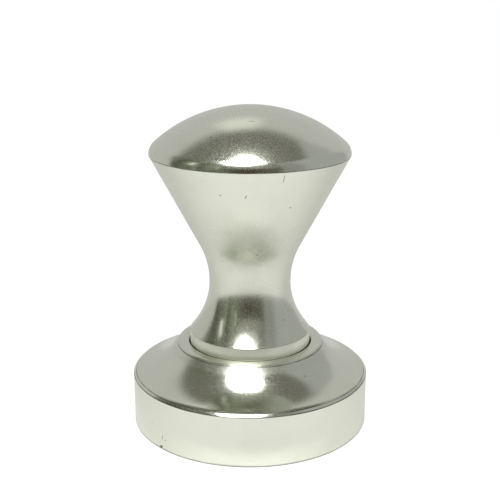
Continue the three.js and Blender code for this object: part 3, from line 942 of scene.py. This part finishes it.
deselect_everything()
bpy.ops.mesh.primitive_circle_add(vertices=96, radius=TABLE_R, fill_type="NGON", location=(0, 0, 0))
table = bpy.context.object
table.name = "table"
bpy.ops.object.mode_set(mode="EDIT")
bpy.ops.mesh.select_all(action="SELECT")
bpy.ops.transform.translate(value=(0, TABLE_R + TABLE_FRONT, 0))
bpy.ops.mesh.extrude_region_move(TRANSFORM_OT_translate={"value": (0, 0, -TABLE_THICK)})
bpy.ops.mesh.select_all(action="SELECT")
bpy.ops.mesh.normals_make_consistent(inside=False)
bpy.ops.object.mode_set(mode="OBJECT")


def make_table_paint():
    """White paint with a painted glow: it glows more in front of the tamper than behind, and most in a pool
    close in front of its base.
    """
    material = bpy.data.materials.new("white_table")
    material.use_nodes = True
    tree = material.node_tree
    paint = tree.nodes["Principled BSDF"]
    paint.inputs["Base Color"].default_value = TABLE_PAINT
    paint.inputs["Roughness"].default_value = TABLE_ROUGHNESS
    paint.inputs["Emission Color"].default_value = (1, 1, 1, 1)
    place = add_node(tree, "ShaderNodeTexCoord").outputs["Object"]
    parts = add_node(tree, "ShaderNodeSeparateXYZ")
    tree.links.new(place, parts.inputs[0])
    front, behind, close = TABLE_PAINTED_GLOW
    glow = ramp(tree, parts.outputs["Y"], *GLOW_CHANGE, front, behind)
    reach = add_node(tree, "ShaderNodeVectorMath", operation="LENGTH")
    tree.links.new(place, reach.inputs[0])
    near = ramp(tree, reach.outputs["Value"], *CLOSE_REACH, close, 0.0)
    near = math_node(tree, "MULTIPLY", near, ramp(tree, parts.outputs["Y"], *CLOSE_FRONT, 1.0, 0.0))
    tree.links.new(math_node(tree, "ADD", glow, near), paint.inputs["Emission Strength"])
    white = add_node(tree, "ShaderNodeEmission")
    fill(tree, white, {"Color": (1, 1, 1, 1), "Strength": TABLE_WHITE_STRENGTH})
    camera_ray = add_node(tree, "ShaderNodeLightPath").outputs["Is Camera Ray"]
    seen = math_node(tree, "MULTIPLY", camera_ray, TABLE_WHITE)
    both = add_node(tree, "ShaderNodeMixShader")
    tree.links.new(seen, both.inputs[0])
    tree.links.new(paint.outputs[0], both.inputs[1])
    tree.links.new(white.outputs[0], both.inputs[2])
    tree.links.new(both.outputs[0], tree.nodes["Material Output"].inputs["Surface"])
    return material


table.data.materials.append(make_table_paint())
print("table top", TABLE_R * 2, "m across")

# %% [markdown]
# ### The room
# A mirror-like piece is only as good as what it mirrors. A picture of a real room could be wrapped round
# it, but plain panels are clearer: each one is a soft rectangle given by its direction, its size and its
# brightness, and each can be moved until its reflection sits where it should.

# %% Room panels
def make_panel():
    """A soft-edged panel on the sky. Its Vector is (azimuth, elevation, 0) in degrees, 0 is the front."""
    tree, given, out = new_group("room_panel", "Mask", Middle_azimuth=0.0, Middle_elevation=30.0,
                                 Half_width=20.0, Half_height=20.0, Softness=5.0)

    def inside(value, half):
        start = math_node(tree, "SUBTRACT", half, given["Softness"])
        end = math_node(tree, "ADD", half, given["Softness"])
        return ramp(tree, math_node(tree, "ABSOLUTE", value), start, end, 1.0, 0.0)

    parts = add_node(tree, "ShaderNodeSeparateXYZ")
    tree.links.new(given["Vector"], parts.inputs[0])
    turn = math_node(tree, "SUBTRACT", parts.outputs["X"], given["Middle azimuth"])
    wide = inside(math_node(tree, "WRAP", turn, 180.0, -180.0), given["Half width"])
    rise = math_node(tree, "SUBTRACT", parts.outputs["Y"], given["Middle elevation"])
    tall = inside(rise, given["Half height"])
    tree.links.new(math_node(tree, "MULTIPLY", wide, tall), out)
    return tree


room_panel = make_panel()
CEILING = (0.165, 0.165, 0.14)
BACKDROP = (0.54, 0.54, 0.53)
BACKDROP_EDGE = 1.65  # the height of its top edge over its distance behind the tamper
BACKDROP_SOFTNESS = 0.22
# name: (azimuth, elevation, half width, half height, softness, colour)
PANELS = {
    "backdrop_glow": (-173, 50, 13, 8, 6, (0.84, 0.84, 0.79)),
    "right_wall": (88, 10, 49, 44.5, 3.5, (0.40, 0.405, 0.40)),
    "right_corner": (50, 10, 13, 44.5, 8, (0.28, 0.285, 0.27)),
    "left_room": (-62, 0, 36, 52, 5, (0.15, 0.165, 0.12)),
    "left_corner": (-90, 0, 7, 45, 3, (0.085, 0.09, 0.07)),
    "left_window": (-72, 27, 3.5, 9, 2.5, (1.0, 1.02, 0.95)),
    "left_curtain": (-64, 6, 2.5, 20, 1.5, (0.27, 0.29, 0.23)),
    "left_gap": (-57, 10, 3, 40, 2, (0.08, 0.095, 0.07)),
    "left_strip": (-45, 20, 4, 20, 3, (0.22, 0.24, 0.19)),
    "bright_strip": (-37, 20, 1.2, 10, 1.5, (0.7, 0.74, 0.62)),
    "front_room": (3, -30, 30, 52, 3, (0.10, 0.10, 0.075)),
    "front_lighter": (0, 29, 28, 7, 5, (0.27, 0.265, 0.23)),
    "front_dark": (-2, -34, 14, 46, 4, (0.062, 0.05, 0.032)),
    "lamp_halo": (-10, 62, 28, 22, 6, (0.52, 0.52, 0.49)),
}


def make_room():
    world = bpy.data.worlds.new("room")
    bpy.context.scene.world = world
    world.use_nodes = True
    tree = world.node_tree
    parts = add_node(tree, "ShaderNodeSeparateXYZ")
    tree.links.new(add_node(tree, "ShaderNodeTexCoord").outputs["Generated"], parts.inputs[0])
    ahead = math_node(tree, "MULTIPLY", parts.outputs["Y"], -1.0)
    azimuth = math_node(tree, "DEGREES", math_node(tree, "ARCTAN2", parts.outputs["X"], ahead))
    elevation = math_node(tree, "DEGREES", math_node(tree, "ARCSINE", parts.outputs["Z"]))
    place = fill(tree, add_node(tree, "ShaderNodeCombineXYZ"), {"X": azimuth, "Y": elevation}).outputs[0]

    height = math_node(tree, "MULTIPLY", parts.outputs["Z"], -1.0)
    below_edge = math_node(tree, "MULTIPLY_ADD", ahead, -BACKDROP_EDGE, height)
    backdrop = ramp(tree, below_edge, -BACKDROP_SOFTNESS, BACKDROP_SOFTNESS)
    colour = mix_colour(tree, backdrop, (*CEILING, 1), (*BACKDROP, 1))
    for name, (middle, height, half_width, half_height, softness, paint) in PANELS.items():
        mask = place_group(tree, room_panel, Vector=place, Middle_azimuth=middle, Middle_elevation=height,
                           Half_width=half_width, Half_height=half_height, Softness=softness)
        mask.node.label = name
        colour = mix_colour(tree, mask, colour, (*paint, 1))
    seen = add_node(tree, "ShaderNodeLightPath").outputs["Is Camera Ray"]
    tree.links.new(mix_colour(tree, seen, colour, (1, 1, 1, 1)), tree.nodes["Background"].inputs["Color"])
    return world


room = make_room()
print(room.name, "has", len(PANELS), "panels")

# %% [markdown]
# ### The lamp
# The round highlights on the dome, the flare and the hollow all come from one big lamp overhead. It is an
# ellipse, because a round shade seen from below and to one side is one. Its colour is neutral and its edge
# is sharp: the metal itself blurs it.

# %% Lamp
LAMP_AZIMUTH = -14
LAMP_ELEVATION = 65.5
LAMP_DISTANCE = 1.2
LAMP_HALF_ANGLES = (16.5, 24)  # across, and along the direction to the front
LAMP_RADIANCE = 4.8
LAMP_AIM = Vector((0, 0, 0.04))

lamp_data = bpy.data.lights.new("overhead_lamp", "AREA")
lamp_data.shape = "ELLIPSE"
lamp_data.size, lamp_data.size_y = [
    2 * LAMP_DISTANCE * math.tan(math.radians(half)) for half in LAMP_HALF_ANGLES]
lamp_area = math.pi / 4 * lamp_data.size * lamp_data.size_y
lamp_data.energy = LAMP_RADIANCE * math.pi * lamp_area
lamp = bpy.data.objects.new("overhead_lamp", lamp_data)
turn, rise = math.radians(LAMP_AZIMUTH), math.radians(LAMP_ELEVATION)
towards = Vector((math.sin(turn) * math.cos(rise), -math.cos(turn) * math.cos(rise), math.sin(rise)))
lamp.location = LAMP_AIM + towards * LAMP_DISTANCE
lamp.rotation_euler = towards.to_track_quat("Z", "Y").to_euler()
lamp.visible_camera = False
bpy.context.scene.collection.objects.link(lamp)
print("lamp energy", round(lamp_data.energy, 2), "W, size", round(lamp_data.size, 2), "m")
